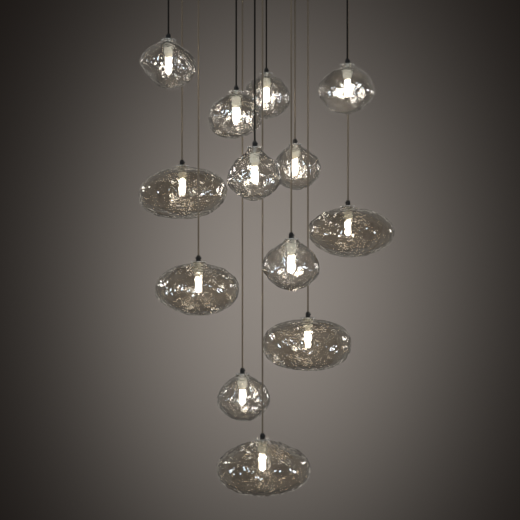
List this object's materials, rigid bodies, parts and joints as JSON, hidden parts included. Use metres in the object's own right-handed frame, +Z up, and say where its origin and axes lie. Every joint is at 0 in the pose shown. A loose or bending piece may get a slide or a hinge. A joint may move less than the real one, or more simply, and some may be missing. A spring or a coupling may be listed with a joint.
{
  "type": "cluster pendant light",
  "caption": "Round ceiling canopy with blown glass globes, small crumpled clear ones and wide smoky ones, hung on straight cords at staggered heights, each round a capsule lamp.",
  "frame": {"origin": "centre of the mounting plate's top face, on the ceiling", "axes": "+Z up through the ceiling, -Y towards the front view, +X to the right in it"},
  "size_m": [0.7636, 0.6577, 1.569],
  "materials": {
    "canopy_paint": "satin",
    "canopy_paint_screws": "satin",
    "black_grip": "satin",
    "zinc_steel": "satin",
    "zinc_nut": "satin",
    "box_plastic": "matte",
    "terminal_plastic": "matte",
    "cord_textile_inner": "matte",
    "clear_glass": "gloss",
    "smoked_glass": "gloss",
    "fitting": "satin",
    "lamp": "matte",
    "cord_textile": "matte"
  },
  "bodies": {
    "ceiling_canopy": {"canopy": "canopy_paint", "mounting_plate": "zinc_steel", "canopy_side_screws": "canopy_paint_screws", "canopy_cord_grips": "black_grip", "lock_nuts": "zinc_nut", "junction_box": "box_plastic", "terminal_block": "terminal_plastic", "inner_cords": "cord_textile_inner"},
    "pendant_a": {"glass_globe_a": "clear_glass", "globe_fitting_a": "fitting", "lamp_a": "lamp", "cord_a": "cord_textile"},
    "pendant_b": {"glass_globe_b": "clear_glass", "globe_fitting_b": "fitting", "lamp_b": "lamp", "cord_b": "cord_textile"},
    "pendant_c": {"glass_globe_c": "clear_glass", "globe_fitting_c": "fitting", "lamp_c": "lamp", "cord_c": "cord_textile"},
    "pendant_d": {"glass_globe_d": "clear_glass", "globe_fitting_d": "fitting", "lamp_d": "lamp", "cord_d": "cord_textile"},
    "pendant_e": {"glass_globe_e": "smoked_glass", "globe_fitting_e": "fitting", "lamp_e": "lamp", "cord_e": "cord_textile"},
    "pendant_f": {"glass_globe_f": "clear_glass", "globe_fitting_f": "fitting", "lamp_f": "lamp", "cord_f": "cord_textile"},
    "pendant_g": {"glass_globe_g": "clear_glass", "globe_fitting_g": "fitting", "lamp_g": "lamp", "cord_g": "cord_textile"},
    "pendant_h": {"glass_globe_h": "smoked_glass", "globe_fitting_h": "fitting", "lamp_h": "lamp", "cord_h": "cord_textile"},
    "pendant_i": {"glass_globe_i": "smoked_glass", "globe_fitting_i": "fitting", "lamp_i": "lamp", "cord_i": "cord_textile"},
    "pendant_j": {"glass_globe_j": "clear_glass", "globe_fitting_j": "fitting", "lamp_j": "lamp", "cord_j": "cord_textile"},
    "pendant_k": {"glass_globe_k": "smoked_glass", "globe_fitting_k": "fitting", "lamp_k": "lamp", "cord_k": "cord_textile"},
    "pendant_l": {"glass_globe_l": "clear_glass", "globe_fitting_l": "fitting", "lamp_l": "lamp", "cord_l": "cord_textile"},
    "pendant_m": {"glass_globe_m": "smoked_glass", "globe_fitting_m": "fitting", "lamp_m": "lamp", "cord_m": "cord_textile"}
  },
  "joints": [
    {"name": "swing_a", "type": "hinge", "parent": "ceiling_canopy", "child": "pendant_a", "pos_m": [-0.255, -0.135, -0.059], "axis": [-0.4226, 0.9063, 0], "range_deg": [-2, 8]},
    {"name": "swing_b", "type": "hinge", "parent": "ceiling_canopy", "child": "pendant_b", "pos_m": [-0.068, -0.055, -0.059], "axis": [0.2588, -0.9659, 0], "range_deg": [-2, 8]},
    {"name": "swing_c", "type": "hinge", "parent": "ceiling_canopy", "child": "pendant_c", "pos_m": [0.02, 0.235, -0.059], "axis": [1, 0, 0], "range_deg": [-8, 8]},
    {"name": "swing_d", "type": "hinge", "parent": "ceiling_canopy", "child": "pendant_d", "pos_m": [0.25, -0.055, -0.059], "axis": [0, -1, 0], "range_deg": [-2.5, 8]},
    {"name": "swing_e", "type": "hinge", "parent": "ceiling_canopy", "child": "pendant_e", "pos_m": [-0.233, 0.075, -0.059], "axis": [0.2588, 0.9659, 0], "range_deg": [-2, 8]},
    {"name": "swing_f", "type": "hinge", "parent": "ceiling_canopy", "child": "pendant_f", "pos_m": [-0.014, -0.245, -0.059], "axis": [-1, 0, 0], "range_deg": [-3, 8]},
    {"name": "swing_g", "type": "hinge", "parent": "ceiling_canopy", "child": "pendant_g", "pos_m": [0.111, 0.265, -0.059], "axis": [0.866, -0.5, 0], "range_deg": [-2, 8]},
    {"name": "swing_h", "type": "hinge", "parent": "ceiling_canopy", "child": "pendant_h", "pos_m": [0.264, 0.085, -0.059], "axis": [0, -1, 0], "range_deg": [-1, 8]},
    {"name": "swing_i", "type": "hinge", "parent": "ceiling_canopy", "child": "pendant_i", "pos_m": [-0.175, -0.075, -0.059], "axis": [-0.9659, -0.2588, 0], "range_deg": [-0.5, 3]},
    {"name": "swing_j", "type": "hinge", "parent": "ceiling_canopy", "child": "pendant_j", "pos_m": [0.085, -0.205, -0.059], "axis": [-0.9659, -0.2588, 0], "range_deg": [-1, 8]},
    {"name": "swing_k", "type": "hinge", "parent": "ceiling_canopy", "child": "pendant_k", "pos_m": [0.14, 0.005, -0.059], "axis": [0.9659, 0.2588, 0], "range_deg": [-3, 8]},
    {"name": "swing_l", "type": "hinge", "parent": "ceiling_canopy", "child": "pendant_l", "pos_m": [-0.052, 0.045, -0.059], "axis": [0.9659, 0.2588, 0], "range_deg": [-2, 8]},
    {"name": "swing_m", "type": "hinge", "parent": "ceiling_canopy", "child": "pendant_m", "pos_m": [0.007, -0.125, -0.059], "axis": [-0.4695, 0.8829, 0], "range_deg": [-0.5, 3]}
  ]
}
